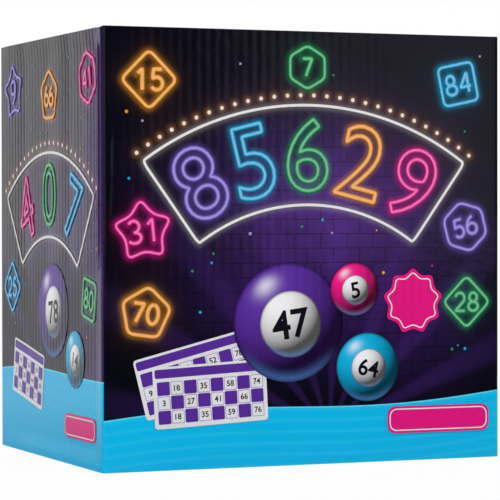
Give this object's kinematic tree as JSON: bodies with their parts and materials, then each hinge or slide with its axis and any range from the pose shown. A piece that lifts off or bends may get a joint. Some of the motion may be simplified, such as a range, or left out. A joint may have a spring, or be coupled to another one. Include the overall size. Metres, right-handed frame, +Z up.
{
  "type": "boxed electronic bingo game",
  "caption": "Printed corrugated carton with a tuck lid, holding number cards and a ball-shaped electronic number caller with a two-digit display.",
  "frame": {"origin": "middle of the carton's base, on the surface it stands on", "axes": "+Z up, -Y out of the printed front, +X to the right seen from the front"},
  "size_m": [0.27, 0.21, 0.27],
  "materials": {
    "printed_board": "satin litho print over B-flute corrugated",
    "plain_board": "plain brown kraft corrugated",
    "card_print": "satin printed card",
    "leaflet_paper": "matt",
    "purple_shell": "gloss",
    "dark_plastic": "fine texture",
    "white_plastic": "satin",
    "pink_light": "translucent",
    "circuit_board": "solder mask",
    "rubber": "matt",
    "steel": "zinc plated",
    "cell_wrap": "gloss wrap",
    "wire": "satin insulation",
    "cone_paper": "matt pressed paper"
  },
  "bodies": {
    "carton": {"battery_box": "dark_plastic", "battery_cell_1": "cell_wrap", "battery_cell_2": "cell_wrap", "battery_cell_3": "cell_wrap", "battery_lead": "wire", "bay_divider": "plain_board", "board_screw_1": "steel", "board_screw_2": "steel", "bottom_flap_front": "printed_board", "bottom_flap_left": "plain_board", "bottom_flap_rear": "printed_board", "bottom_flap_right": "plain_board", "call_button_spring": "steel", "call_switch": "dark_plastic", "card_pack_1": "card_print", "card_pack_2": "card_print", "card_pack_3": "card_print", "card_pack_4": "card_print", "carton_sleeve": "printed_board", "contact_spring_1": "steel", "contact_spring_2": "steel", "contact_spring_3": "steel", "contact_strip_front": "steel", "contact_strip_rear": "steel", "display_face": "white_plastic", "display_lead": "wire", "display_screw_1": "steel", "display_screw_2": "steel", "foot_ring": "rubber", "front_shell": "purple_shell", "glue_flap": "plain_board", "insert_collar": "plain_board", "insert_tray": "plain_board", "key_membrane": "rubber", "led_board": "circuit_board", "light_baffle": "white_plastic", "main_board": "circuit_board", "power_switch": "dark_plastic", "rear_shell": "purple_shell", "rules_leaflet": "leaflet_paper", "segment_diffuser": "pink_light", "shell_screw_1": "steel", "shell_screw_2": "steel", "shell_screw_3": "steel", "shell_screw_4": "steel", "speaker_basket": "steel", "speaker_carrier": "dark_plastic", "speaker_cone": "cone_paper", "speaker_lead": "wire", "speaker_magnet": "dark_plastic"},
    "lid": {"lid_panel": "printed_board"},
    "tuck": {"tuck_flap": "printed_board"},
    "dust_left": {"dust_flap_left": "plain_board"},
    "dust_right": {"dust_flap_right": "plain_board"},
    "call_cap": {"call_button": "purple_shell"},
    "repeat_key": {"repeat_button": "white_plastic"},
    "new_game_key": {"new_game_button": "white_plastic"},
    "power_slider": {"power_knob": "dark_plastic"},
    "door": {"battery_door": "dark_plastic", "door_screw": "steel"}
  },
  "joints": [
    {"name": "lid_hinge", "type": "hinge", "parent": "carton", "child": "lid", "pos_m": [0, 0.1053, 0.2696], "axis": [-1, 0, 0], "range_deg": [0, 225]},
    {"name": "tuck_fold", "type": "hinge", "parent": "lid", "child": "tuck", "pos_m": [0, -0.1012, 0.2663], "axis": [-1, 0, 0], "range_deg": [0, 45]},
    {"name": "dust_flap_left_fold", "type": "hinge", "parent": "carton", "child": "dust_left", "pos_m": [-0.1317, 0, 0.2663], "axis": [0, -1, 0], "range_deg": [0, 90]},
    {"name": "dust_flap_right_fold", "type": "hinge", "parent": "carton", "child": "dust_right", "pos_m": [0.1317, 0, 0.2663], "axis": [0, 1, 0], "range_deg": [0, 90]},
    {"name": "call_press", "type": "slide", "parent": "carton", "child": "call_cap", "axis": [0, 0, -1], "range_m": [0, 0.002], "stiffness_N_per_m": 400, "springref_m": -0.003, "deforming": ["call_button_spring"]},
    {"name": "repeat_press", "type": "slide", "parent": "carton", "child": "repeat_key", "axis": [0, -1, 0], "range_m": [0, 0.0012], "stiffness_N_per_m": 300, "springref_m": -0.001},
    {"name": "new_game_press", "type": "slide", "parent": "carton", "child": "new_game_key", "axis": [0, -1, 0], "range_m": [0, 0.0012], "stiffness_N_per_m": 300, "springref_m": -0.001},
    {"name": "power_slide", "type": "slide", "parent": "carton", "child": "power_slider", "axis": [1, 0, 0], "range_m": [0, 0.008]},
    {"name": "battery_door_off", "type": "slide", "parent": "carton", "child": "door", "axis": [0, 0, -1], "range_m": [0, 0.03]}
  ],
  "couplings": [
    {"joint": "tuck_fold", "follows": "lid_hinge", "ratio": 0.2},
    {"joint": "dust_flap_left_fold", "follows": "lid_hinge", "ratio": 0.4},
    {"joint": "dust_flap_right_fold", "follows": "lid_hinge", "ratio": 0.4}
  ]
}
